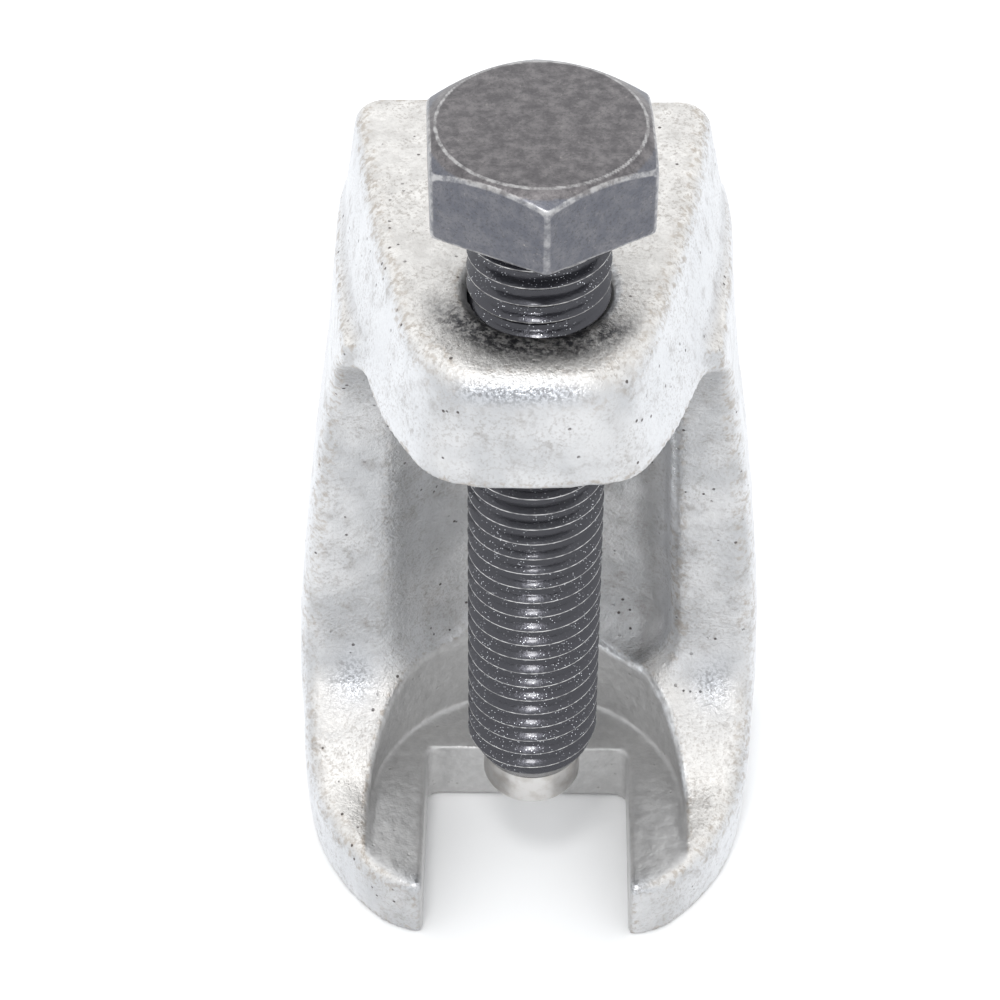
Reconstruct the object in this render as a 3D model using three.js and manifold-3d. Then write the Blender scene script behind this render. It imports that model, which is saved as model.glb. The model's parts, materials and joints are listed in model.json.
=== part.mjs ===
// Ball joint separator: a forged C-shaped body with a forked foot below and a threaded boss above,
// and a hexagon-headed forcing screw that runs down through the boss onto the ball stud.
// Millimetres, +Z up. The fork opens towards -Y and the base stands on z = 0.
import * as THREE from 'three';
import { mergeVertices } from 'three/addons/utils/BufferGeometryUtils.js';
import Module from 'manifold-3d';

const wasm = await Module();
wasm.setup();

// Body, measured from the screw's axis in x and y and from the base in z.
const BODY_TOP = 70.7;
const NOSE_Y = -13.4; // front of the boss
const BACK_Y = 26.4; // back of the column
const BOSS_UNDERSIDE_FRONT = 61;
const BOSS_UNDERSIDE_BACK = 57.5;
const LIP_RADIUS = 2.2;
const BOSS_DRAFT = [[2, 0.0195], [24, 0.0085]]; // [y, share of its width that the boss loses for each mm of height]
const BODY_HALF_WIDTHS = [[0, 21.6], [12, 22], [24, 21.5], [36, 20.2], [50, 18.3], [61, 16.9]]; // [height, half]

// Fork and its pocket.
const FORK_FRONT_Y = -9.4;
const FORK_THICKNESS = 6.9;
const FORK_ARC_RADIUS = 21.4;
const FORK_ARC_Y = 8;
const SLOT_WIDTH = 19.4;
const SLOT_BACK_Y = 7.8;
const SLOT_CORNER_RADIUS = 1.2;
const POCKET_RADIUS = 14.9;
const POCKET_RIM = 15.2;

// Column: two ribs with a recessed web between them.
const RIB_FRONT_Y = 10.8;
const WEB_FRONT_Y = 15.4;
const RECESS_HALF_WIDTH_LOW = 13.9;
const RECESS_HALF_WIDTH_HIGH = 12.2;
const RECESS_TOP = 56;
const RECESS_CORNER_RADIUS = 6;
const COLUMN_HALF_WIDTH = 22;
const COLUMN_CORNER_RADIUS = 5;
const SHOULDER_FRONT_Y = 5; // where the ribs' rounded shoulders stop under the boss
const SHOULDER_HALF_WIDTH = 17;
const KNUCKLE_TOP = 24; // above this height nothing of the fork is left

// Screw: M12 x 1.75 with an 18 mm hexagon.
const PITCH = 1.75;
const THREAD_MAJOR_RADIUS = 5.92;
const THREAD_MINOR_RADIUS = 4.95;
const THREAD_CLEARANCE = 0.3;
const THREAD_SEGMENTS = 16;
const THREAD_START = 15; // height at which the screw's and the boss's helices share their phase
const TIP_BOTTOM = 12.6;
const TIP_TOP = 16.4;
const TIP_RADIUS = 4.45;
const TIP_CHAMFER = 0.4;
const PIECE_GAP = 0.3;
const POINT_TAPER_TOP = 18.7;
const HEAD_BOTTOM = 79.8;
const HEAD_HEIGHT = 7.2;
const HEAD_ACROSS_FLATS = 17.8;
const HEAD_CHAMFER_RADIUS = 8.3;
const HEAD_CHAMFER_DROP = 0.9;
const HEAD_TURN = 3 * Math.PI / 180;
const COUNTERSINK_RADIUS = 6.5;

// One thread form over a pitch: share of the pitch, and 0 at the root or 1 at the crest.
const THREAD_FORM = [[0, 0], [0.25, 0], [0.5625, 1], [0.6875, 1]];

function solid(geometry) {
  const bare = geometry.clone();
  bare.deleteAttribute('normal');
  bare.deleteAttribute('uv');
  const merged = mergeVertices(bare);
  const mesh = new wasm.Mesh({
    numProp: 3,
    vertProperties: new Float32Array(merged.attributes.position.array),
    triVerts: new Uint32Array(merged.index.array),
  });
  return new wasm.Manifold(mesh);
}

function geometryOf(manifold) {
  const mesh = manifold.getMesh();
  const geometry = new THREE.BufferGeometry();
  geometry.setAttribute('position', new THREE.BufferAttribute(mesh.vertProperties, 3));
  geometry.setIndex(new THREE.BufferAttribute(mesh.triVerts, 1));
  return geometry;
}

// Prisms: a shape drawn in two of the part's axes and pushed along the third.
function prismAlongX(shape, fromX, toX) {
  const geometry = new THREE.ExtrudeGeometry(shape, { depth: toX - fromX, bevelEnabled: false, curveSegments: 8 });
  const toYZ = new THREE.Matrix4().makeBasis(
    new THREE.Vector3(0, 1, 0),
    new THREE.Vector3(0, 0, 1),
    new THREE.Vector3(1, 0, 0),
  );
  return geometry.applyMatrix4(toYZ).translate(fromX, 0, 0);
}

function prismAlongY(shape, fromY, toY) {
  const geometry = new THREE.ExtrudeGeometry(shape, { depth: toY - fromY, bevelEnabled: false, curveSegments: 8 });
  const toXZ = new THREE.Matrix4().makeBasis(
    new THREE.Vector3(1, 0, 0),
    new THREE.Vector3(0, 0, 1),
    new THREE.Vector3(0, -1, 0),
  );
  return geometry.applyMatrix4(toXZ).translate(0, toY, 0);
}

function prismAlongZ(shape, fromZ, toZ, curveSegments = 8) {
  const geometry = new THREE.ExtrudeGeometry(shape, { depth: toZ - fromZ, bevelEnabled: false, curveSegments });
  return geometry.translate(0, 0, fromZ);
}

// A solid of revolution about the screw's axis, from [radius, height] pairs that start and end on the axis.
function turned(profile, segments) {
  const points = profile.map(([radius, height]) => new THREE.Vector2(radius, height));
  return new THREE.LatheGeometry(points, segments).rotateX(Math.PI / 2);
}

// A closed right-hand threaded rod that starts at startZ and rises by whole turns.
function threadedRod(minorRadius, majorRadius, startZ, turns) {
  const columns = turns * THREAD_SEGMENTS;
  const rows = THREAD_FORM.length;
  const positions = [];
  for (let column = 0; column <= columns + THREAD_SEGMENTS; column++) {
    const angle = 2 * Math.PI * column / THREAD_SEGMENTS;
    for (const [share, height] of THREAD_FORM) {
      const radius = minorRadius + (majorRadius - minorRadius) * height;
      const z = startZ + PITCH * (share + column / THREAD_SEGMENTS);
      positions.push(radius * Math.cos(angle), radius * Math.sin(angle), z);
    }
  }
  // The row above a column's last row is the first row of the column one turn further on.
  const vertex = (column, row) => (row < rows ? column * rows + row : (column + THREAD_SEGMENTS) * rows);
  const triangles = [];
  for (let column = 0; column < columns; column++) {
    for (let row = 0; row < rows; row++) {
      const [a, b] = [vertex(column, row), vertex(column + 1, row)];
      const [c, d] = [vertex(column + 1, row + 1), vertex(column, row + 1)];
      triangles.push(a, b, c, a, c, d);
    }
  }
  // Each end is a fan from the axis round one turn of the helix and back along the step in it.
  const fan = (startColumn, axisZ, flip) => {
    const axisVertex = positions.length / 3;
    positions.push(0, 0, axisZ);
    const rim = [];
    for (let turn = 0; turn <= THREAD_SEGMENTS; turn++) {
      rim.push(vertex(startColumn + turn, 0));
    }
    for (let row = rows - 1; row >= 0; row--) {
      rim.push(vertex(startColumn, row));
    }
    for (let i = 0; i + 1 < rim.length; i++) {
      const [from, to] = flip ? [rim[i + 1], rim[i]] : [rim[i], rim[i + 1]];
      triangles.push(axisVertex, to, from);
    }
  };
  fan(0, startZ, false);
  fan(columns, startZ + PITCH * (turns + 1), true);
  const geometry = new THREE.BufferGeometry();
  geometry.setAttribute('position', new THREE.Float32BufferAttribute(positions, 3));
  geometry.setIndex(triangles);
  return geometry;
}

// Seen from the side: boss, throat, rib and fork arm in one C-shaped outline (y, z).
function sideOutline() {
  const outline = new THREE.Shape();
  outline.moveTo(FORK_FRONT_Y, 0);
  outline.lineTo(BACK_Y - 3, 0);
  outline.bezierCurveTo(BACK_Y - 1.2, 8, BACK_Y, 16, BACK_Y, 26);
  outline.lineTo(BACK_Y, BODY_TOP + 1);
  outline.lineTo(NOSE_Y - 1, BODY_TOP + 1);
  outline.lineTo(NOSE_Y - 1, BOSS_UNDERSIDE_FRONT + 0.8);
  outline.lineTo(NOSE_Y, BOSS_UNDERSIDE_FRONT + 0.8);
  outline.lineTo(NOSE_Y + 0.8, BOSS_UNDERSIDE_FRONT);
  outline.lineTo(0, BOSS_UNDERSIDE_BACK + 1);
  outline.bezierCurveTo(7, BOSS_UNDERSIDE_BACK - 1, RIB_FRONT_Y, 50, RIB_FRONT_Y, 42);
  outline.lineTo(RIB_FRONT_Y, 21);
  outline.bezierCurveTo(RIB_FRONT_Y, 17, 9.6, POCKET_RIM, 8.4, 14.3);
  outline.bezierCurveTo(6, 12.8, 4, 9.4, 1, 8.3);
  outline.bezierCurveTo(-2, 7.3, -5, 7, FORK_FRONT_Y + 0.8, FORK_THICKNESS);
  outline.lineTo(FORK_FRONT_Y, FORK_THICKNESS - 0.8);
  outline.closePath();
  return outline;
}

// Half of the body's width, between the heights that BODY_HALF_WIDTHS lists.
function halfWidthAt(z) {
  const last = BODY_HALF_WIDTHS.length - 1;
  const found = BODY_HALF_WIDTHS.findIndex(([height]) => height >= z);
  const upper = Math.max(1, found === -1 ? last : found);
  const [lowZ, lowWidth] = BODY_HALF_WIDTHS[upper - 1];
  const [highZ, highWidth] = BODY_HALF_WIDTHS[upper];
  return THREE.MathUtils.mapLinear(z, lowZ, highZ, lowWidth, highWidth);
}

// Draws a prism's sides in or out: narrowing(z, y) is the share of its width that is left at each place.
function tapered(geometry, narrowing) {
  const position = geometry.attributes.position;
  for (let i = 0; i < position.count; i++) {
    position.setX(i, position.getX(i) * narrowing(position.getZ(i), position.getY(i)));
  }
  return geometry;
}

// Seen from above: the column with its rounded back corners, and the fork's round front if asked (x, y).
function columnPlan(frontY, withFork) {
  const inner = COLUMN_HALF_WIDTH - COLUMN_CORNER_RADIUS;
  const cornerY = BACK_Y - COLUMN_CORNER_RADIUS;
  const plan = new THREE.Shape();
  plan.moveTo(COLUMN_HALF_WIDTH, frontY);
  plan.lineTo(COLUMN_HALF_WIDTH, cornerY);
  plan.absarc(inner, cornerY, COLUMN_CORNER_RADIUS, 0, Math.PI / 2, false);
  plan.absarc(-inner, cornerY, COLUMN_CORNER_RADIUS, Math.PI / 2, Math.PI, false);
  plan.lineTo(-COLUMN_HALF_WIDTH, frontY);
  if (withFork) {
    plan.lineTo(-FORK_ARC_RADIUS, FORK_ARC_Y);
    plan.absarc(0, FORK_ARC_Y, FORK_ARC_RADIUS, Math.PI, 2 * Math.PI, false);
  } else {
    plan.lineTo(-SHOULDER_HALF_WIDTH, SHOULDER_FRONT_Y);
    plan.lineTo(SHOULDER_HALF_WIDTH, SHOULDER_FRONT_Y);
  }
  plan.closePath();
  return plan;
}

// Seen from above: the boss, a trapezoid with a round nose (x, y), at the height of its underside.
function bossPlan() {
  const right = [[5.6, -13], [8.8, -11.4], [10.9, -8.4], [12.4, -4.6], [14.4, 2], [16, 11], [16.9, 20]];
  const left = right.map(([x, y]) => [-x, y]).reverse();
  const points = (list) => list.map(([x, y]) => new THREE.Vector2(x, y));
  const plan = new THREE.Shape();
  plan.moveTo(0, NOSE_Y);
  plan.splineThru(points(right));
  plan.quadraticCurveTo(17.2, BACK_Y, 13.8, BACK_Y);
  plan.lineTo(-13.8, BACK_Y);
  plan.quadraticCurveTo(-17.2, BACK_Y, ...left[0]);
  plan.splineThru(points([...left.slice(1), [0, NOSE_Y]]));
  return plan;
}

// The boss leans in above its underside, more towards its nose than at its back.
function bossNarrowing(z, y) {
  const [[nearY, nearDraft], [farY, farDraft]] = BOSS_DRAFT;
  const place = THREE.MathUtils.clamp(y, nearY, farY);
  const draft = THREE.MathUtils.mapLinear(place, nearY, farY, nearDraft, farDraft);
  return 1 - draft * Math.max(z - BOSS_UNDERSIDE_FRONT, 0);
}

function bossBlock() {
  const bottom = RECESS_TOP - RECESS_CORNER_RADIUS;
  const geometry = new THREE.ExtrudeGeometry(bossPlan(), {
    depth: BODY_TOP - bottom - LIP_RADIUS,
    steps: 5, // one of the levels lands on the underside's height, where the draft starts
    bevelThickness: LIP_RADIUS,
    bevelSize: LIP_RADIUS,
    bevelOffset: -LIP_RADIUS,
    bevelSegments: 3,
    curveSegments: 3,
  }).translate(0, 0, bottom);
  return tapered(geometry, bossNarrowing);
}

// The column and, below KNUCKLE_TOP, the fork round it.
function columnBlock(frontY, withFork, fromZ, toZ, steps) {
  const shape = columnPlan(frontY, withFork);
  const options = { depth: toZ - fromZ, steps, bevelEnabled: false, curveSegments: withFork ? 16 : 4 };
  const geometry = new THREE.ExtrudeGeometry(shape, options).translate(0, 0, fromZ);
  return tapered(geometry, (z) => halfWidthAt(z) / COLUMN_HALF_WIDTH);
}

// The recess between the ribs, seen from the front (x, z).
function recessOutline() {
  const inner = RECESS_HALF_WIDTH_HIGH - RECESS_CORNER_RADIUS;
  const cornerZ = RECESS_TOP - RECESS_CORNER_RADIUS;
  const outline = new THREE.Shape();
  outline.moveTo(-RECESS_HALF_WIDTH_LOW, POCKET_RIM);
  outline.lineTo(RECESS_HALF_WIDTH_LOW, POCKET_RIM);
  outline.lineTo(RECESS_HALF_WIDTH_HIGH, cornerZ);
  outline.quadraticCurveTo(RECESS_HALF_WIDTH_HIGH, RECESS_TOP, inner, RECESS_TOP);
  outline.lineTo(-inner, RECESS_TOP);
  outline.quadraticCurveTo(-RECESS_HALF_WIDTH_HIGH, RECESS_TOP, -RECESS_HALF_WIDTH_HIGH, cornerZ);
  outline.closePath();
  return outline;
}

// The U-shaped pocket round the screw's axis, open to the front (x, y).
function pocketPlan() {
  const plan = new THREE.Shape();
  plan.moveTo(POCKET_RADIUS, -20);
  plan.lineTo(POCKET_RADIUS, 0);
  plan.absarc(0, 0, POCKET_RADIUS, 0, Math.PI, false);
  plan.lineTo(-POCKET_RADIUS, -20);
  plan.closePath();
  return plan;
}

// The fork's slot, with small round corners at its back (x, y).
function slotPlan() {
  const half = SLOT_WIDTH / 2;
  const inner = half - SLOT_CORNER_RADIUS;
  const cornerY = SLOT_BACK_Y - SLOT_CORNER_RADIUS;
  const plan = new THREE.Shape();
  plan.moveTo(half, -20);
  plan.lineTo(half, cornerY);
  plan.absarc(inner, cornerY, SLOT_CORNER_RADIUS, 0, Math.PI / 2, false);
  plan.absarc(-inner, cornerY, SLOT_CORNER_RADIUS, Math.PI / 2, Math.PI, false);
  plan.lineTo(-half, -20);
  plan.closePath();
  return plan;
}

// The hole's cutting tool: a thread that is THREAD_CLEARANCE larger than the screw's, in the same phase.
function tappedHoleCutter() {
  const skippedTurns = Math.floor((BOSS_UNDERSIDE_BACK - 3 - THREAD_START) / PITCH);
  const thread = threadedRod(
    THREAD_MINOR_RADIUS + THREAD_CLEARANCE,
    THREAD_MAJOR_RADIUS + THREAD_CLEARANCE,
    THREAD_START + skippedTurns * PITCH,
    12,
  );
  const countersink = turned([
    [0, BODY_TOP - 2],
    [COUNTERSINK_RADIUS - 1.4, BODY_TOP - 1.4],
    [COUNTERSINK_RADIUS, BODY_TOP],
    [COUNTERSINK_RADIUS, BODY_TOP + 5],
    [0, BODY_TOP + 5],
  ], 32);
  return solid(thread).add(solid(countersink));
}

function bodyGeometry() {
  const block = solid(columnBlock(FORK_ARC_Y + 5, true, 0, KNUCKLE_TOP, 4))
    .add(solid(columnBlock(RIB_FRONT_Y + 2, false, KNUCKLE_TOP, BOSS_UNDERSIDE_FRONT, 8)))
    .add(solid(bossBlock()));
  const forging = solid(prismAlongX(sideOutline(), -30, 30)).intersect(block);
  const machined = forging
    .subtract(solid(prismAlongY(recessOutline(), NOSE_Y - 5, WEB_FRONT_Y)))
    .subtract(solid(prismAlongZ(pocketPlan(), FORK_THICKNESS, POCKET_RIM + 1, 24)))
    .subtract(solid(prismAlongZ(slotPlan(), -1, POCKET_RIM, 4)))
    .subtract(tappedHoleCutter());
  return geometryOf(machined);
}

function hexHead() {
  const corner = HEAD_ACROSS_FLATS / Math.sqrt(3);
  const top = HEAD_BOTTOM + HEAD_HEIGHT;
  const hexagon = new THREE.Shape();
  for (let i = 0; i < 6; i++) {
    const angle = -Math.PI / 2 + HEAD_TURN + i * Math.PI / 3;
    const place = [corner * Math.cos(angle), corner * Math.sin(angle)];
    if (i === 0) {
      hexagon.moveTo(...place);
    } else {
      hexagon.lineTo(...place);
    }
  }
  const prism = prismAlongZ(hexagon, HEAD_BOTTOM, top);
  // The chamfer is a shallow cone that trims only the hexagon's corners.
  const slope = HEAD_CHAMFER_DROP / (corner - HEAD_CHAMFER_RADIUS);
  const coneRadius = corner + 2;
  const cone = turned([
    [0, HEAD_BOTTOM - 1],
    [coneRadius, HEAD_BOTTOM - 1],
    [coneRadius, top - slope * (coneRadius - HEAD_CHAMFER_RADIUS)],
    [HEAD_CHAMFER_RADIUS, top],
    [0, top],
  ], 48);
  return solid(prism).intersect(solid(cone));
}

function screwGeometry() {
  const turns = Math.ceil((HEAD_BOTTOM - THREAD_START) / PITCH);
  const thread = threadedRod(THREAD_MINOR_RADIUS, THREAD_MAJOR_RADIUS, THREAD_START, turns);
  const envelopeRadius = THREAD_MAJOR_RADIUS + 1;
  const envelope = turned([
    [0, TIP_TOP],
    [TIP_RADIUS, TIP_TOP],
    [THREAD_MAJOR_RADIUS, POINT_TAPER_TOP],
    [envelopeRadius, POINT_TAPER_TOP + 1],
    [envelopeRadius, HEAD_BOTTOM + 1],
    [0, HEAD_BOTTOM + 1],
  ], 32);
  return geometryOf(solid(thread).intersect(solid(envelope)).add(hexHead()));
}

function tipGeometry() {
  return turned([
    [0, TIP_BOTTOM],
    [TIP_RADIUS - TIP_CHAMFER, TIP_BOTTOM],
    [TIP_RADIUS, TIP_BOTTOM + TIP_CHAMFER],
    [TIP_RADIUS, TIP_TOP - PIECE_GAP],
    [0, TIP_TOP - PIECE_GAP],
  ], 32);
}

function forgedSteel() {
  return new THREE.MeshStandardMaterial({ color: 0xb4b2ab, roughness: 0.42, metalness: 0.9 });
}

function blackOxide() {
  return new THREE.MeshStandardMaterial({ color: 0x1d1d20, roughness: 0.35, metalness: 0.8 });
}

function turnedSteel() {
  return new THREE.MeshStandardMaterial({ color: 0xa39f96, roughness: 0.25, metalness: 1 });
}

function namedMesh(name, geometry, material) {
  const mesh = new THREE.Mesh(geometry, material);
  mesh.name = name;
  return mesh;
}

// The origin is the middle of the whole object's footprint, so the screw's axis stands in front of it.
const separator = new THREE.Group();
separator.position.y = -(NOSE_Y + BACK_Y) / 2;
separator.add(namedMesh('fork_body', bodyGeometry(), forgedSteel()));
separator.add(namedMesh('forcing_screw', screwGeometry(), blackOxide()));
separator.add(namedMesh('thrust_tip', tipGeometry(), turnedSteel()));

export default separator;
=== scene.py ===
"""Looks of the ball joint separator: a forged body, an oiled black forcing screw and its bright turned tip.

Shapes are worked out in millimetres about the screw's axis, and placed in the frame in metres.
"""
import json
import math

import bmesh
import bpy
import numpy as np
import openvdb
from mathutils import Matrix, Vector


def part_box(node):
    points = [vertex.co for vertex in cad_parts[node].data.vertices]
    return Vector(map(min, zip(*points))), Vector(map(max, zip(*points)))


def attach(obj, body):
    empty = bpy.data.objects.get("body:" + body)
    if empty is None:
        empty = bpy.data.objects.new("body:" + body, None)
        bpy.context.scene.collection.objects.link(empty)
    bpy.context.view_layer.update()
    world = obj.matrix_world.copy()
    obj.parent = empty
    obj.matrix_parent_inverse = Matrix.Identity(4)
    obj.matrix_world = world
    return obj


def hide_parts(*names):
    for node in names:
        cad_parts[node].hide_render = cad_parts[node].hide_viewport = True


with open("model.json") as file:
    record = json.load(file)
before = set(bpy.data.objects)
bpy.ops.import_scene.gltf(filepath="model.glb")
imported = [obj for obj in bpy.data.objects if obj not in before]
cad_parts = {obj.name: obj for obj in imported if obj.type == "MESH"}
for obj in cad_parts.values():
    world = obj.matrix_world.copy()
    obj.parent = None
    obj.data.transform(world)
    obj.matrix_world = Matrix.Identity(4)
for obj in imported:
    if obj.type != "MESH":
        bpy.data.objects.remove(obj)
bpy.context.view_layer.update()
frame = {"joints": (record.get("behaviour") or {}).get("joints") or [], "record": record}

MM = 0.001
joints = {j["name"]: j for j in frame["joints"]}
coupling = frame["record"]["behaviour"]["couplings"][0]
AXIS = Vector((joints["screw_turn"]["pos_m"][0], joints["screw_turn"]["pos_m"][1], 0.0))
PITCH = 2 * math.pi / coupling["ratio"] / MM


def frame_box(node):
    """A CAD node's lowest and highest corner, in millimetres about the screw's axis."""
    low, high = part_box(node)
    return (low - AXIS) / MM, (high - AXIS) / MM


body_low, body_high = frame_box("fork_body")
_, screw_high = frame_box("forcing_screw")
tip_low, tip_high = frame_box("thrust_tip")

# Forged body.
TOP = body_high.z
BACK = body_high.y
NOSE = body_low.y
HALF_WIDTH = body_high.x
FORK_FRONT = NOSE + 3.4
FORK_THICKNESS = 6.9
FORK_ARC_RADIUS = 21.4
FORK_ARC_Y = 8.0
SLOT_HALF_WIDTH = 9.7
SLOT_BACK = 7.8
POCKET_RADIUS = 14.9
POCKET_RIM = 15.2
POCKET_TOP = 26.0
RIB_FRONT = 10.8
WEB_FRONT = 15.4
RECESS_TOP = 56.0
UNDERSIDE_FRONT = 60.3
UNDERSIDE_BACK = 59.6
SHOULDER = 61.3
BOSS_START = 50  # the boss and its hole are worked out above this height only
FILLET = 2.0
BASE_RADIUS = 0.5
MACHINED_RADIUS = 0.35
LIP_RADIUS = 2.8
EDGE_RADIUS = 1.3
BOSS_LOW = [
    (0, -13.5), (5.6, -13.0), (8.7, -11.6), (10.9, -8.4), (12.5, -5.0),
    (14.6, 1.5), (16.0, 8), (16.9, 16), (17.1, 24)]
BOSS_HIGH = [
    (0, -12.4), (5.0, -11.9), (7.8, -9.9), (9.7, -6.5), (10.7, -3.0),
    (11.8, 2.0), (13.1, 8), (14.4, 16), (15.3, 24)]
BOSS_LEAN = 0.3  # how far the boss's top stands to the left of its foot
BOSS_CORNER = 2.4
COUNTERSINK_RADIUS = 6.5
KNUCKLE_X = 17
FORGING_SHIFT = -0.4  # the hole is drilled this far off the forging's middle, as on a rough forging
VOXEL = 0.4

# Screw.
THREAD_MAJOR = 5.92
THREAD_MINOR = 4.95
THREAD_PHASE = 15.0
THREAD_CLEARANCE = 0.33
END_GAP = 0.05  # between the screw and its tip, so that neither drags the other
THREAD_FORM = [(0, 0), (0.25, 0), (0.5625, 1), (0.6875, 1), (1, 0)]
TIP_RADIUS = tip_high.x
POINT_TAPER_TOP = 18.7
HEAD_HEIGHT = 7.2
HEAD_TOP = screw_high.z
HEAD_BOTTOM = HEAD_TOP - HEAD_HEIGHT
HEAD_ACROSS_FLATS = 17.8
HEAD_CHAMFER_RADIUS = 8.3
HEAD_TURN = math.radians(3)
HEAD_CHAMFER = math.radians(30)
HEAD_CORNER_RADIUS = 0.35
CREST_FLAT = 0.02


# Distance fields: negative inside, in millimetres.


def smooth_cut(a, b, radius):
    """Where both fields are inside, with the shared edge rounded to radius."""
    u, v = np.maximum(a + radius, 0), np.maximum(b + radius, 0)
    return np.minimum(-radius, np.maximum(a, b)) + np.sqrt(u * u + v * v)


def smooth_join(a, b, radius):
    """Where either field is inside, with a fillet of radius in the corner between them."""
    return -smooth_cut(-a, -b, radius)


def polygon_field(u, v, points):
    """Signed distance to a closed outline, on the plane of two arrays that broadcast together."""
    u, v = np.broadcast_arrays(u, v)
    nearest = np.full(u.shape, np.inf)
    inside = np.zeros(u.shape, bool)
    for (ax, ay), (bx, by) in zip(points, points[1:] + points[:1]):
        ex, ey = bx - ax, by - ay
        if ex * ex + ey * ey < 1e-9:
            continue
        wx, wy = u - ax, v - ay
        along = np.clip((wx * ex + wy * ey) / (ex * ex + ey * ey), 0, 1)
        nearest = np.minimum(nearest, (wx - ex * along) ** 2 + (wy - ey * along) ** 2)
        crosses = ((ay <= v) & (by > v)) | ((ay > v) & (by <= v))
        side = ex * wy - ey * wx > 0
        inside ^= crosses & (side == (by > ay))
    return np.where(inside, -1, 1) * np.sqrt(nearest)


def bezier(a, b, c, d, steps=12):
    """Points of a cubic curve after its first one."""
    t = np.linspace(0, 1, steps + 1)[1:, None]
    a, b, c, d = (np.array(p, float) for p in (a, b, c, d))
    points = (1 - t) ** 3 * a + 3 * (1 - t) ** 2 * t * b + 3 * (1 - t) * t * t * c + t ** 3 * d
    return [tuple(p) for p in points]


def spline(points, steps):
    """A smooth curve (Catmull-Rom) through points that start on x = 0, which it leaves at a right angle."""
    points = [np.array(p, float) for p in points]
    before = points[1] * (-1, 1)
    padded = [before] + points + [2 * points[-1] - points[-2]]
    curve = [tuple(points[0])]
    for a, b, c, d in zip(padded, padded[1:], padded[2:], padded[3:]):
        for i in range(1, steps + 1):
            t = i / steps
            square, cube = 2 * a - 5 * b + 4 * c - d, 3 * b - a - 3 * c + d
            place = 2 * b + (c - a) * t + square * t * t + cube * t ** 3
            curve.append(tuple(place / 2))
    return curve


def arc(centre, radius, start, end, steps=24):
    """Points of an arc, with its angles in degrees."""
    angles = np.radians(np.linspace(start, end, steps + 1))
    return [(centre[0] + radius * math.cos(a), centre[1] + radius * math.sin(a)) for a in angles]


def bell(value, centre, width, power=2):
    """1 at the centre and 0.37 a width away from it. A higher power is flatter in between."""
    return np.exp(-((value - centre) / width) ** power)


def lumps(x, y, z, size, seed):
    """Smooth random swells between -1 and 1, about size millimetres across."""
    count = 24
    lattice = np.random.default_rng(seed).uniform(-1, 1, (count, count, count))
    parts = []
    for axis in (x, y, z):
        place = axis / size + 40.0
        cell = np.floor(place).astype(int)
        share = place - cell
        parts.append((cell, share * share * (3 - 2 * share)))
    total = 0
    for corner in np.ndindex(2, 2, 2):
        weight = 1
        for step, (_, share) in zip(corner, parts):
            weight = weight * (share if step else 1 - share)
        i, j, k = ((cell + step) % count for step, (cell, _) in zip(corner, parts))
        total = total + weight * lattice[i, j, k]
    return total


def mesh_of_field(name, field, low, step):
    """The zero surface of a field sampled from low every step, as a mesh, with its vertices' places."""
    grid = openvdb.FloatGrid()
    grid.copyFromArray(np.ascontiguousarray(field, dtype=np.float32))
    points, _, quads = grid.convertToPolygons(isovalue=0.0, adaptivity=0.0)
    points = points * step + np.array(low)
    mesh = bpy.data.meshes.new(name)
    mesh.from_pydata(points.tolist(), [], quads.tolist())
    mesh.update()
    return mesh, points


def sample(field, low, step, points):
    """A field's value at each point, from the eight samples round it."""
    place = (points - np.array(low)) / step
    cell = np.clip(np.floor(place).astype(int), 0, np.array(field.shape) - 2)
    share = place - cell
    total = np.zeros(len(points))
    for corner in np.ndindex(2, 2, 2):
        weight = np.prod(np.where(corner, share, 1 - share), axis=1)
        at = cell + np.array(corner)
        total += weight * field[at[:, 0], at[:, 1], at[:, 2]]
    return total


def curvature(field, step):
    """How sharply a field's surface bends, in 1/mm: positive on outer edges, negative in corners."""
    total = -6 * field
    for axis in range(3):
        total = total + np.roll(field, 1, axis) + np.roll(field, -1, axis)
    return total / (step * step)


def paint(mesh, name, values):
    """Stores one number for each vertex, for the materials to read."""
    layer = mesh.attributes.new(name, "FLOAT", "POINT")
    layer.data.foreach_set("value", np.clip(values, 0, 1).astype(np.float32))


def close_up(mesh):
    """Merges points that share a place, fills open ends and turns every face outwards."""
    work = bmesh.new()
    work.from_mesh(mesh)
    bmesh.ops.remove_doubles(work, verts=work.verts, dist=1e-4)
    bmesh.ops.dissolve_degenerate(work, edges=work.edges, dist=1e-4)
    open_edges = [edge for edge in work.edges if edge.is_boundary]
    bmesh.ops.holes_fill(work, edges=open_edges, sides=0)
    bmesh.ops.recalc_face_normals(work, faces=work.faces)
    work.to_mesh(mesh)
    work.free()


def in_frame(mesh):
    """Moves a mesh from millimetres about the screw's axis into the frame."""
    mesh.transform(Matrix.Translation(AXIS) @ Matrix.Scale(MM, 4))


def piece(name, mesh, material, body, node):
    """A finished piece that stands for a CAD node and rides on its body."""
    mesh.materials.append(material)
    obj = bpy.data.objects.new(name, mesh)
    bpy.context.scene.collection.objects.link(obj)
    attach(obj, body)
    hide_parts(node)
    return obj


# Forged body.


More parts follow.
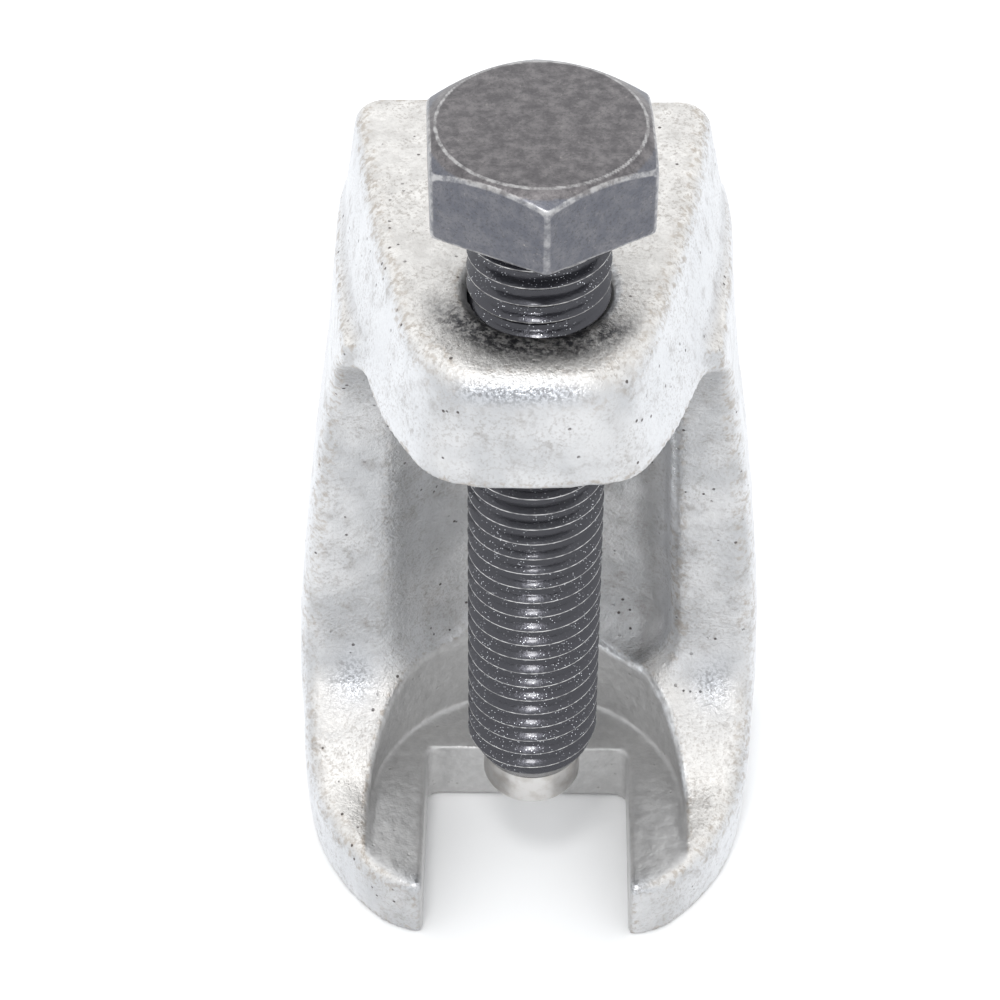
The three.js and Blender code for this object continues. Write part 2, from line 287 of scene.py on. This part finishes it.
def side_outline():
    """The C-shaped outline from the side: boss, throat, rib and fork arm (y, z)."""
    points = [(FORK_FRONT, -3), (BACK - 3, -3), (BACK - 3, 0)]
    points += bezier((BACK - 3, 0), (BACK - 1.2, 8), (BACK, 16), (BACK, 26))
    points += [(BACK, TOP + 3), (NOSE - 1, TOP + 3), (NOSE - 1, UNDERSIDE_FRONT), (NOSE + 2, UNDERSIDE_FRONT)]
    points += [(0, UNDERSIDE_BACK + 1)]
    points += bezier((0, UNDERSIDE_BACK + 1), (7, UNDERSIDE_BACK - 1), (RIB_FRONT, 50), (RIB_FRONT, 42))
    points += [(RIB_FRONT, 21)]
    points += bezier((RIB_FRONT, 21), (RIB_FRONT, 17), (9.6, POCKET_RIM), (8.4, 14.3))
    points += bezier((8.4, 14.3), (6, 12.8), (4, 9.4), (1, 8.3))
    points += bezier((1, 8.3), (-2, 7.3), (-5, 7), (FORK_FRONT, FORK_THICKNESS))
    return points


def fork_plan():
    """The fork and the column's foot from above (x, y)."""
    points = arc((0, FORK_ARC_Y), FORK_ARC_RADIUS, 180, 360, 48)
    points += [(HALF_WIDTH, FORK_ARC_Y + 6)]
    points += arc((HALF_WIDTH - 5, BACK - 5), 5, 0, 90, 10)
    points += arc((5 - HALF_WIDTH, BACK - 5), 5, 90, 180, 10)
    points += [(-HALF_WIDTH, FORK_ARC_Y + 6)]
    return points


def boss_outline(half):
    """The boss from above, closed, from the right half of its outline (x, y)."""
    right = spline(half, 6)
    side = right[-1][0]
    right += arc((side - BOSS_CORNER, BACK - BOSS_CORNER), BOSS_CORNER, 0, 90, 8)
    return right + [(-x, y) for x, y in reversed(right)]


def half_width_at(z):
    """Half of the column's width at a height."""
    heights = [0, 12, 24, 36, 50, 61, 71]
    widths = [21.6, 22.0, 21.5, 20.2, 18.3, 16.9, 15.7]
    return np.polyval(np.polyfit(heights, widths, 4), z)


def recess_half_at(z):
    """Half of the recess's width at a height."""
    return np.interp(z, [POCKET_RIM, 50], [13.9, 12.2])


def forging_field(x, y, z):
    """The forging before any machining: fork, column and boss, with the recess in the column's front."""
    side = polygon_field(y, z, side_outline())
    narrowing = half_width_at(z) / HALF_WIDTH
    column = polygon_field(x / narrowing, y, fork_plan())
    column = np.maximum(column, z - SHOULDER)
    column = np.maximum(column, np.minimum(z - 24, 3 - y))
    rise = np.maximum(z - UNDERSIDE_FRONT, 0) / (TOP - UNDERSIDE_FRONT)
    foot = polygon_field(x, y, boss_outline(BOSS_LOW))
    crown = polygon_field(x + BOSS_LEAN, y, boss_outline(BOSS_HIGH))
    boss = foot * (1 - rise) + crown * rise
    boss = smooth_cut(boss, z - TOP, np.interp(y, [-11, -5], [LIP_RADIUS, EDGE_RADIUS]))
    boss = np.maximum(boss, BOSS_START - z)
    outer = smooth_join(column, boss, FILLET)
    forging = smooth_cut(side, outer, np.interp(z, [50, 59], [1.8, 0.5]))

    left = np.clip(0.5 - x / 6, 0, 1)
    wall = np.abs(x) - recess_half_at(z) + 1.6 * left + (0.15 + 0.35 * left) * (y - RIB_FRONT)
    recess = smooth_cut(wall, y - WEB_FRONT, 2.6 + 1.4 * left)
    recess = smooth_cut(recess, z - RECESS_TOP, 3.0)
    recess = smooth_cut(recess, POCKET_RIM - z, 4.6)
    forging = smooth_cut(forging, -recess, 1.4 + 1.2 * left)
    knuckle = bell(np.abs(x), KNUCKLE_X, 4.5) * bell(y, 7, 5) * bell(z, 14, 6)
    forging = forging + (0.09 + 0.12 * knuckle) * lumps(x, y, z, 4.2, 3)
    forging = forging + (0.035 + 0.05 * knuckle) * lumps(x, y, z, 1.7, 4)
    return smooth_cut(forging, -z, BASE_RADIUS)


def machining_field(x, y, z):
    """What is machined away: the pocket, the slot and the countersunk tapped hole."""
    radius = np.sqrt(x * x + y * y)
    across = x - FORGING_SHIFT
    pocket = np.where(y > 0, np.sqrt(across * across + y * y), np.abs(across)) - POCKET_RADIUS
    pocket = np.maximum(pocket, np.maximum(FORK_THICKNESS - z, z - POCKET_TOP))
    slot = np.maximum(smooth_cut(np.abs(across) - SLOT_HALF_WIDTH, y - SLOT_BACK, 1.2), z - POCKET_TOP)
    turn = (z - THREAD_PHASE) / PITCH - np.arctan2(y, x) / (2 * math.pi)
    ridge = np.interp(turn % 1.0, *zip(*THREAD_FORM))
    hole = radius - (THREAD_MINOR + THREAD_CLEARANCE + (THREAD_MAJOR - THREAD_MINOR) * ridge)
    countersink = radius - COUNTERSINK_RADIUS + np.maximum(TOP - z, 0)
    hole = np.maximum(np.minimum(hole, countersink), BOSS_START - z)
    return np.minimum(np.minimum(pocket, slot), hole)


def paint_body(mesh, points, bend, to_cut):
    """Marks where the forging is machined, sharp, polished, oily or in the recess's shade, and where painted
    highlights, a painted reflection and painted top and side light go.
    """
    px, py, pz = points.T
    reach = np.sqrt(px * px + py * py)
    normals = np.array([v.normal for v in mesh.vertices])
    paint(mesh, "machined", 1 - np.abs(to_cut) / 0.5)
    paint(mesh, "edge", 0.5 + 0.5 * bend / 1.2)
    # Painted side light: faces that face sideways are painted a light bluish grey in the material.
    paint(mesh, "side", np.abs(normals[:, 0]))

    # Polished lip, knuckles and fork-tip edges: lower roughness, and a mottled dark-to-light blue-grey colour
    # that is a painted reflection.
    lip = bell(px, -1.6, 6.4, 4) * bell(py, NOSE + 1.4, 1.1) * bell(pz, TOP - 1.1, 1.1)
    knuckles = bell(np.abs(px), KNUCKLE_X, 2.4) * bell(py, 8.4, 2.4) * bell(pz, 15.4, 2.8)
    tips = bell(py, FORK_FRONT, 1.6) * bell(pz, FORK_THICKNESS, 0.9)
    paint(mesh, "polish_and_reflection", lip + knuckles + 0.8 * tips)

    # Painted highlights: bright lines along the right rib's inner edge and along the pocket's rim on the
    # right, where the roughness is lowered too.
    rib_edge = recess_half_at(pz) + FORGING_SHIFT + 0.2
    right_rib_highlight = bell(px, rib_edge, 0.5) * bell(py, RIB_FRONT + 0.5, 1.2) * bell(pz, 44, 12, 4)
    rim_highlight = np.clip(bend, 0, 1) * bell(to_cut, 0, 0.4) * (px > 5) * (py > -5) * (pz > 8)
    paint(mesh, "painted_highlight", right_rib_highlight + 0.8 * rim_highlight)

    before_hole = np.clip(-(py + 1.5) / 3.5 - 0.03 * px, 0, 1)
    near_hole = bell(np.maximum(reach, 6.2), 6.2, 3.3, 6)
    paint(mesh, "oil", (pz > TOP - 2) * before_hole * near_hole)

    inward = np.clip((13.4 - np.abs(px - FORGING_SHIFT)) / 3.0, 0, 1)
    depth = np.clip((py - 9.0) / 4.5, 0, 1) * np.clip((UNDERSIDE_BACK + 2 - pz) / 4, 0, 1)
    in_recess = depth * inward
    paint(mesh, "web", in_recess * (normals[:, 1] < 0.3) * (0.6 + px / 20))
    # Painted top light: faces that face up, less so in the recess, are painted lighter and creamier by the
    # material.
    paint(mesh, "up", normals[:, 2] * (1 - in_recess))


def build_body():
    """The forging with its machined cuts, meshed and marked for the material."""
    margin = 2
    low = [-HALF_WIDTH - margin, NOSE - margin, -margin]
    high = [HALF_WIDTH + margin, BACK + margin, TOP + margin]
    x, y, z = (np.arange(a, b, VOXEL) for a, b in zip(low, high))
    x, y, z = x[:, None, None], y[None, :, None], z[None, None, :]
    cuts = machining_field(x, y, z)
    whole = smooth_cut(forging_field(x - FORGING_SHIFT, y, z), -cuts, MACHINED_RADIUS)
    mesh, points = mesh_of_field("forged_body", whole, low, VOXEL)
    bend = sample(curvature(whole, VOXEL), low, VOXEL, points)
    to_cut = sample(cuts, low, VOXEL, points)
    paint_body(mesh, points, bend, to_cut)
    mesh.shade_smooth()
    in_frame(mesh)
    return piece("forged_body", mesh, forged_steel(), "frame", "fork_body")


# Screw.


def threaded_surface(columns_per_turn, bottom, top, root, crest, envelope):
    """A helical grid of points round the axis, row after row up the pitch, held inside an envelope."""
    form = [
        (0, 0), (0.125, 0), (0.25, 0.03), (0.40, 0.5), (0.575, 0.96),
        (0.60, 1), (0.65, 1), (0.675, 0.96), (0.85, 0.5)]
    first = math.floor((bottom - THREAD_PHASE) / PITCH) - 1
    turns = math.ceil((top - bottom) / PITCH) + 3
    rows = []
    for column in range(turns * columns_per_turn + 1):
        turn = first + column / columns_per_turn
        angle = 2 * math.pi * turn
        for share, height in form:
            z = THREAD_PHASE + PITCH * (turn + share)
            z_held = min(max(z, bottom), top)
            limit = root if z >= top else envelope(z_held)
            radius = min(root + (crest - root) * height, limit)
            rows.append((radius * math.cos(angle), radius * math.sin(angle), z_held))
    return rows, len(form), turns * columns_per_turn


def screw_envelope(z):
    """The blank's radius at a height: tapered at the point, full above it."""
    share = (z - tip_high.z) / (POINT_TAPER_TOP - tip_high.z)
    return TIP_RADIUS + (THREAD_MAJOR - TIP_RADIUS) * min(max(share, 0), 1)


def hex_head_field(low, high, step):
    """The hexagon head: six flats, a cone that chamfers the top and a flat underside."""
    x, y, z = (np.arange(a, b, step) for a, b in zip(low, high))
    x, y, z = x[:, None, None], y[None, :, None], z[None, None, :]
    planes = []
    for i in range(6):
        angle = -math.pi / 2 + HEAD_TURN + (i + 0.5) * math.pi / 3
        planes.append(x * math.cos(angle) + y * math.sin(angle) - HEAD_ACROSS_FLATS / 2)
    flats = planes[0]
    for plane in planes[1:]:
        flats = smooth_cut(flats, plane, HEAD_CORNER_RADIUS)
    beyond = np.sqrt(x * x + y * y) - HEAD_CHAMFER_RADIUS
    chamfer = beyond * math.sin(HEAD_CHAMFER) + (z - HEAD_TOP) * math.cos(HEAD_CHAMFER)
    head = smooth_cut(flats, np.maximum(z - HEAD_TOP, chamfer), 0.22)
    return smooth_cut(head, HEAD_BOTTOM - z, 0.3)


def build_thread():
    """The threaded blank, closed at both ends."""
    columns = 48
    bottom = tip_high.z + END_GAP
    rows, per_pitch, count = threaded_surface(
        columns, bottom, HEAD_BOTTOM + 1, THREAD_MINOR, THREAD_MAJOR, screw_envelope)
    faces = []
    for column in range(count):
        for row in range(per_pitch):
            here, there = column * per_pitch + row, (column + 1) * per_pitch + row
            if row + 1 < per_pitch:
                above, beyond = here + 1, there + 1
            else:
                above, beyond = (column + columns) * per_pitch, (column + 1 + columns) * per_pitch
            if beyond < len(rows):
                faces.append((here, there, beyond, above))
    mesh = bpy.data.meshes.new("thread")
    mesh.from_pydata(rows, [], faces)
    close_up(mesh)
    return mesh


def build_screw():
    """The threaded blank and the head in one piece, with the crests and the head's edges marked as worn."""
    thread = build_thread()
    step = 0.2
    low = [-11, -11, HEAD_BOTTOM - 1]
    field = hex_head_field(low, [11, 11, HEAD_TOP + 1], step)
    head, points = mesh_of_field("head", field, low, step)
    rows = [tuple(v.co) for v in thread.vertices]
    faces = [tuple(p.vertices) for p in thread.polygons]
    faces += [tuple(v + len(rows) for v in p.vertices) for p in head.polygons]
    mesh = bpy.data.meshes.new("black_screw")
    mesh.from_pydata(rows + points.tolist(), [], faces)
    mesh.update()
    bend = sample(curvature(field, step), low, step, points)
    crest = np.array([math.hypot(v[0], v[1]) for v in rows])
    reach = np.hypot(points[:, 0], points[:, 1])
    rim = bell(reach, HEAD_CHAMFER_RADIUS, 0.26) * (points[:, 2] > HEAD_TOP - 0.4)
    worn_head = np.maximum(0.5 + 0.5 * bend / 3, rim)
    # The head's top is told from its flats, for the material's painted reflection on the flats.
    head_up = (points[:, 2] > HEAD_TOP - 0.5).astype(float)
    paint(mesh, "up", np.concatenate([np.zeros(len(rows)), head_up]))
    paint(mesh, "edge", np.concatenate([(crest > THREAD_MAJOR - CREST_FLAT) * 0.9, worn_head]))
    paint(mesh, "thread", np.concatenate([np.ones(len(rows)), np.zeros(len(points))]))
    mesh.shade_smooth()
    in_frame(mesh)
    return piece("black_screw", mesh, black_oxide(), "screw", "forcing_screw")


def build_tip():
    """The turned end: a round pin with a small chamfer, from the bottom of its axis to the top."""
    profile = [(0, tip_low.z), (TIP_RADIUS - 0.5, tip_low.z), (TIP_RADIUS - 0.15, tip_low.z + 0.12)]
    profile += [(TIP_RADIUS, tip_low.z + 0.45), (TIP_RADIUS, tip_high.z), (0, tip_high.z)]
    segments = 96
    vertices, faces = [], []
    for radius, z in profile:
        for i in range(segments):
            angle = 2 * math.pi * i / segments
            vertices.append((radius * math.cos(angle), radius * math.sin(angle), z))
    for ring in range(len(profile) - 1):
        for i in range(segments):
            j = (i + 1) % segments
            low, high = ring * segments, (ring + 1) * segments
            faces.append((low + i, low + j, high + j, high + i))
    mesh = bpy.data.meshes.new("turned_tip")
    mesh.from_pydata(vertices, [], faces)
    close_up(mesh)
    mesh.shade_smooth()
    mesh.set_sharp_from_angle(angle=math.radians(40))
    in_frame(mesh)
    return piece("turned_tip", mesh, turned_steel(), "thrust_end", "thrust_tip")


# Materials.


class Nodes:
    """A material's node tree, with short calls. Textures read object space in millimetres."""

    def __init__(self, name):
        self.material = bpy.data.materials.new(name)
        self.material.use_nodes = True
        self.tree = self.material.node_tree
        self.shader = self.tree.nodes["Principled BSDF"]
        coordinates = self.tree.nodes.new("ShaderNodeTexCoord")
        scale = self.tree.nodes.new("ShaderNodeVectorMath")
        scale.operation = "SCALE"
        scale.inputs["Scale"].default_value = 1 / MM
        self.tree.links.new(coordinates.outputs["Object"], scale.inputs[0])
        self.space = scale.outputs[0]

    def link(self, value, socket):
        if isinstance(value, bpy.types.NodeSocket):
            self.tree.links.new(value, socket)
        else:
            socket.default_value = value

    def noise(self, size, detail=3.0, roughness=0.55, stretch=None):
        node = self.tree.nodes.new("ShaderNodeTexNoise")
        node.inputs["Scale"].default_value = 1 / size
        node.inputs["Detail"].default_value = detail
        node.inputs["Roughness"].default_value = roughness
        vector = self.space
        if stretch:
            shaped = self.tree.nodes.new("ShaderNodeVectorMath")
            shaped.operation = "MULTIPLY"
            shaped.inputs[1].default_value = stretch
            self.tree.links.new(vector, shaped.inputs[0])
            vector = shaped.outputs[0]
        self.tree.links.new(vector, node.inputs["Vector"])
        return node.outputs["Fac"]

    def cells(self, size, randomness=1.0):
        node = self.tree.nodes.new("ShaderNodeTexVoronoi")
        node.inputs["Scale"].default_value = 1 / size
        node.inputs["Randomness"].default_value = randomness
        self.tree.links.new(self.space, node.inputs["Vector"])
        return node.outputs["Distance"]

    def attribute(self, name):
        node = self.tree.nodes.new("ShaderNodeAttribute")
        node.attribute_name = name
        return node.outputs["Fac"]

    def math(self, operation, a, b=0.0, clamp=False):
        node = self.tree.nodes.new("ShaderNodeMath")
        node.operation = operation
        node.use_clamp = clamp
        self.link(a, node.inputs[0])
        self.link(b, node.inputs[1])
        return node.outputs[0]

    def times(self, a, b, clamp=False):
        return self.math("MULTIPLY", a, b, clamp)

    def rest_of(self, share):
        """What is left of 1 after a share."""
        return self.math("SUBTRACT", 1.0, share)

    def ramp(self, value, low, high, from_value=0.0, to_value=1.0):
        node = self.tree.nodes.new("ShaderNodeMapRange")
        node.interpolation_type = "SMOOTHSTEP"
        node.inputs["From Min"].default_value = low
        node.inputs["From Max"].default_value = high
        node.inputs["To Min"].default_value = from_value
        node.inputs["To Max"].default_value = to_value
        self.link(value, node.inputs["Value"])
        return node.outputs[0]

    def mix(self, share, a, b):
        node = self.tree.nodes.new("ShaderNodeMix")
        node.data_type = "RGBA"
        self.link(share, node.inputs["Factor"])
        self.link(a, node.inputs[6])
        self.link(b, node.inputs[7])
        return node.outputs[2]

    def bump(self, height, distance, strength=1.0, normal=None):
        node = self.tree.nodes.new("ShaderNodeBump")
        node.inputs["Distance"].default_value = distance * MM
        node.inputs["Strength"].default_value = strength
        self.link(height, node.inputs["Height"])
        if normal:
            self.link(normal, node.inputs["Normal"])
        return node.outputs[0]


def grey(value, warmth=0.0):
    return (value * (1 + warmth), value, value * (1 - warmth), 1)


def forged_steel():
    n = Nodes("forged_steel")
    machined = n.ramp(n.attribute("machined"), 0.3, 0.8)
    edge = n.ramp(n.attribute("edge"), 0.56, 0.80)
    corner_shade = n.ramp(n.attribute("edge"), 0.46, 0.15)
    up = n.ramp(n.attribute("up"), 0.35, 0.9)
    side = n.ramp(n.attribute("side"), 0.55, 0.95)
    oil, web, polish_and_reflection = n.attribute("oil"), n.attribute("web"), n.attribute("polish_and_reflection")
    broad, patchy, fine = n.noise(7, 3), n.noise(2.2, 6, 0.65), n.noise(0.28, 3, 0.65)
    base = n.mix(n.ramp(broad, 0.35, 0.65), (0.50, 0.505, 0.515, 1), (0.64, 0.64, 0.645, 1))
    # Painted top light: faces that face up are mixed towards a lighter cream.
    top_light_cream = n.mix(n.ramp(patchy, 0.38, 0.62), (0.60, 0.58, 0.555, 1), (0.79, 0.77, 0.742, 1))
    base = n.mix(n.times(up, 0.9), base, top_light_cream)
    # Painted side light: faces that face sideways are mixed towards a light bluish grey.
    base = n.mix(n.times(side, 0.8), base, (0.76, 0.77, 0.79, 1))
    stain = n.times(n.ramp(patchy, 0.48, 0.70), n.ramp(n.noise(0.8, 5, 0.7), 0.42, 0.60))
    base = n.mix(n.times(stain, 0.5), base, (0.30, 0.275, 0.255, 1))
    shade = n.mix(n.ramp(n.noise(1.8, 5, 0.65), 0.38, 0.65), grey(0.155), grey(0.25, 0.01))
    base = n.mix(n.times(web, 0.22), base, shade)
    density = n.ramp(n.noise(4.5, 3), 0.36, 0.60, 0.25, 1.0)
    grain = n.times(n.ramp(fine, 0.50, 0.62), density)
    cast = n.rest_of(machined)
    amount = n.times(n.math("ADD", n.times(up, 0.12), 0.3), cast)
    base = n.mix(n.times(grain, amount), base, (0.24, 0.205, 0.175, 1))
    grime = n.times(edge, n.ramp(n.noise(0.7, 5, 0.65), 0.48, 0.62))
    base = n.mix(n.times(grime, 0.5), base, (0.33, 0.27, 0.21, 1))
    # Painted shade: concave corners are darkened.
    base = n.mix(n.times(corner_shade, 0.3), base, (0.22, 0.20, 0.19, 1))
    turned = n.mix(n.ramp(n.noise(0.8, 5, 0.6), 0.35, 0.65), grey(0.51, 0.008), grey(0.57, 0.008))
    base = n.mix(n.times(machined, 0.92), base, turned)
    pits = n.times(n.ramp(n.cells(1.0), 0.17, 0.10), n.ramp(n.noise(4, 2), 0.53, 0.60))
    pits = n.times(pits, n.rest_of(n.times(machined, 0.8)))
    base = n.mix(n.times(pits, 0.85), base, (0.07, 0.055, 0.05, 1))
    # Painted reflection: polished places turn a mottled dark-to-light blue-grey, and their roughness is
    # lowered too.
    painted_reflection = n.mix(n.ramp(fine, 0.42, 0.58), (0.17, 0.18, 0.20, 1), (0.50, 0.52, 0.56, 1))
    base = n.mix(n.times(polish_and_reflection, 0.8, True), base, painted_reflection)
    # Painted highlight: near-white colour on the right rib's edge and the pocket's rim.
    painted_highlight = n.times(n.attribute("painted_highlight"), n.ramp(patchy, 0.40, 0.56, 0.25, 1.0))
    base = n.mix(painted_highlight, base, (0.93, 0.95, 0.98, 1))
    film = n.times(oil, n.ramp(n.noise(0.6, 5, 0.7), 0.36, 0.60, 0.40, 1.0), True)
    base = n.mix(film, base, (0.05, 0.05, 0.055, 1))
    n.link(base, n.shader.inputs["Base Color"])
    rough = n.ramp(patchy, 0.3, 0.7, 0.42, 0.58)
    rough = n.math("SUBTRACT", rough, n.times(n.math("MAXIMUM", polish_and_reflection, painted_highlight), 0.30))
    n.link(n.math("SUBTRACT", rough, n.times(film, 0.12), True), n.shader.inputs["Roughness"])
    n.shader.inputs["Metallic"].default_value = 0.9
    swell = n.bump(n.noise(1.1, 2, 0.5), 0.22, 0.6)
    roughed = n.rest_of(n.times(machined, 0.7))
    skin = n.bump(n.times(fine, roughed), 0.12, 0.7, swell)
    n.link(n.bump(n.times(pits, -1.0), 0.25, 0.8, skin), n.shader.inputs["Normal"])
    return n.material


def black_oxide():
    n = Nodes("black_oxide")
    edge = n.ramp(n.attribute("edge"), 0.66, 0.9)
    thread, up = n.attribute("thread"), n.attribute("up")
    patchy, fine = n.noise(1.3, 6, 0.7), n.noise(0.22, 3, 0.65)
    # Painted reflection: the head's flats are a bluish grey and its top a browner grey.
    sides = n.mix(n.ramp(patchy, 0.35, 0.7), (0.100, 0.104, 0.126, 1), (0.155, 0.155, 0.172, 1))
    top = n.mix(n.ramp(patchy, 0.35, 0.7), (0.085, 0.078, 0.082, 1), (0.185, 0.172, 0.174, 1))
    base = n.mix(up, sides, top)
    base = n.mix(n.times(n.ramp(fine, 0.50, 0.66), 0.45), base, (0.055, 0.052, 0.054, 1))
    flecks = n.ramp(n.noise(0.40, 5, 0.75), 0.60, 0.70)
    flecks = n.times(flecks, n.ramp(patchy, 0.42, 0.60, 0.1, 0.5))
    base = n.mix(flecks, base, (0.40, 0.37, 0.35, 1))
    base = n.mix(thread, base, (0.040, 0.040, 0.048, 1))
    worn = n.times(edge, n.ramp(n.noise(0.7, 4, 0.6), 0.35, 0.65, 0.2, 1.0))
    worn = n.times(worn, n.math("ADD", n.times(thread, 0.35), 0.5))
    base = n.mix(worn, base, (0.72, 0.71, 0.70, 1))
    # Painted glints: tiny bright bluish-white specks on the thread, for glints off dust and oil.
    dust_glints = n.times(n.ramp(n.cells(0.24), 0.21, 0.10), n.ramp(n.noise(2.5, 2), 0.38, 0.60))
    base = n.mix(n.times(dust_glints, thread), base, (0.86, 0.88, 0.92, 1))
    n.link(base, n.shader.inputs["Base Color"])
    n.link(n.math("SUBTRACT", 0.85, n.times(thread, 0.15)), n.shader.inputs["Metallic"])
    n.link(n.math("SUBTRACT", 0.42, n.times(thread, 0.20)), n.shader.inputs["Roughness"])
    n.shader.inputs["Coat Weight"].default_value = 0.4
    n.shader.inputs["Coat Roughness"].default_value = 0.1
    n.link(n.bump(n.noise(0.30, 4, 0.6), 0.05, 0.6), n.shader.inputs["Normal"])
    return n.material


def turned_steel():
    n = Nodes("turned_steel")
    base = n.mix(n.ramp(n.noise(1.2, 4), 0.4, 0.7), grey(0.60, 0.02), grey(0.47, 0.05))
    n.link(base, n.shader.inputs["Base Color"])
    n.shader.inputs["Metallic"].default_value = 1.0
    n.shader.inputs["Roughness"].default_value = 0.3
    rings = n.noise(0.12, 1, 0.5, stretch=(0.1, 0.1, 1))
    n.link(n.bump(rings, 0.03, 0.6), n.shader.inputs["Normal"])
    return n.material


def studio_floor():
    n = Nodes("studio_floor")
    n.link(n.mix(n.noise(90, 2), grey(0.88), grey(0.91)), n.shader.inputs["Base Color"])
    n.shader.inputs["Roughness"].default_value = 0.55
    return n.material


# Stage: floor, light and camera.


def build_floor():
    side = 2.0
    mesh = bpy.data.meshes.new("floor")
    corners = [(-side, -side, 0), (side, -side, 0), (side, side, 0), (-side, side, 0)]
    mesh.from_pydata(corners, [], [(0, 1, 2, 3)])
    mesh.materials.append(studio_floor())
    floor = bpy.data.objects.new("floor", mesh)
    bpy.context.scene.collection.objects.link(floor)


def soft_box(name, place, size, power, target=(0, 0, 0.04)):
    light = bpy.data.lights.new(name, "AREA")
    light.shape = "RECTANGLE"
    light.size, light.size_y = size
    light.energy = power
    lamp = bpy.data.objects.new(name, light)
    lamp.location = place
    lamp.rotation_euler = (Vector(target) - Vector(place)).to_track_quat("-Z", "Y").to_euler()
    bpy.context.scene.collection.objects.link(lamp)


def build_light():
    world = bpy.data.worlds.new("studio")
    world.use_nodes = True
    world.node_tree.nodes["Background"].inputs["Color"].default_value = (0.97, 0.985, 1.0, 1)
    world.node_tree.nodes["Background"].inputs["Strength"].default_value = 1.33
    bpy.context.scene.world = world
    soft_box("front", (-0.055, -0.225, 0.50), (0.085, 0.085), 0.62)


def build_camera():
    """Looks down on the nose of the boss from the front, as in a close hand-held view."""
    elevation, heading = 0.7492, -0.01
    distance, aside, aim_height = 276.6, -3.08, 46.9
    roll = 0.0052
    level = Vector((math.cos(heading), -math.sin(heading), 0))
    ahead = Vector((math.sin(heading), math.cos(heading), 0))
    forward = ahead * math.cos(elevation) - Vector((0, 0, math.sin(elevation)))
    above = level.cross(forward)
    right = math.cos(roll) * level + math.sin(roll) * above
    up = -math.sin(roll) * level + math.cos(roll) * above
    place = AXIS + MM * (Vector((0, 0, aim_height)) + right * aside - forward * distance)
    data = bpy.data.cameras.new("camera")
    data.lens = 115.2
    data.sensor_width = 36
    data.clip_start = 0.01
    camera = bpy.data.objects.new("camera", data)
    turn = Matrix((right, up, -forward)).transposed()
    camera.matrix_world = Matrix.Translation(place) @ turn.to_4x4()
    bpy.context.scene.collection.objects.link(camera)
    bpy.context.scene.camera = camera


build_camera()
build_floor()
build_light()
bpy.context.scene.view_settings.view_transform = "Standard"
build_body()
build_screw()
build_tip()
